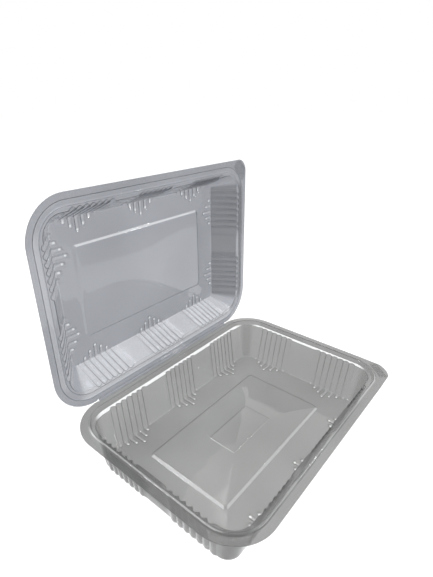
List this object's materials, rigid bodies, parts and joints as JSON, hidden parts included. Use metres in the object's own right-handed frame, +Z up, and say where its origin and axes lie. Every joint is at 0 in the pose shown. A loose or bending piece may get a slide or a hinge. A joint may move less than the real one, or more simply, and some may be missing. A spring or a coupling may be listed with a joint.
{
  "type": "takeaway meal container",
  "caption": "Clear hinged takeaway meal container, standing open: deep base tray and shallow lid with fluted walls, living hinge and lifting corners.",
  "frame": {"origin": "middle of the whole part's footprint, on the surface it stands on, with the lid as it stands open", "axes": "+Z up, +X along the hinge towards the lifting corners, -Y from the hinge towards the base's free long side"},
  "size_m": [0.22, 0.184, 0.1901],
  "materials": {
    "base_plastic": "clear glossy thermoformed PET, faint neutral grey",
    "lid_plastic": "clear glossy thermoformed PET, faint cool grey"
  },
  "bodies": {
    "base": {"base_tray": "base_plastic"},
    "lid": {"lid_tray": "lid_plastic"}
  },
  "joints": [
    {"name": "lid_hinge", "type": "hinge", "parent": "base", "child": "lid", "pos_m": [0, 0.06019, 0.03825], "axis": [1, 0, 0], "range_deg": [-86.5, 93.5]}
  ]
}
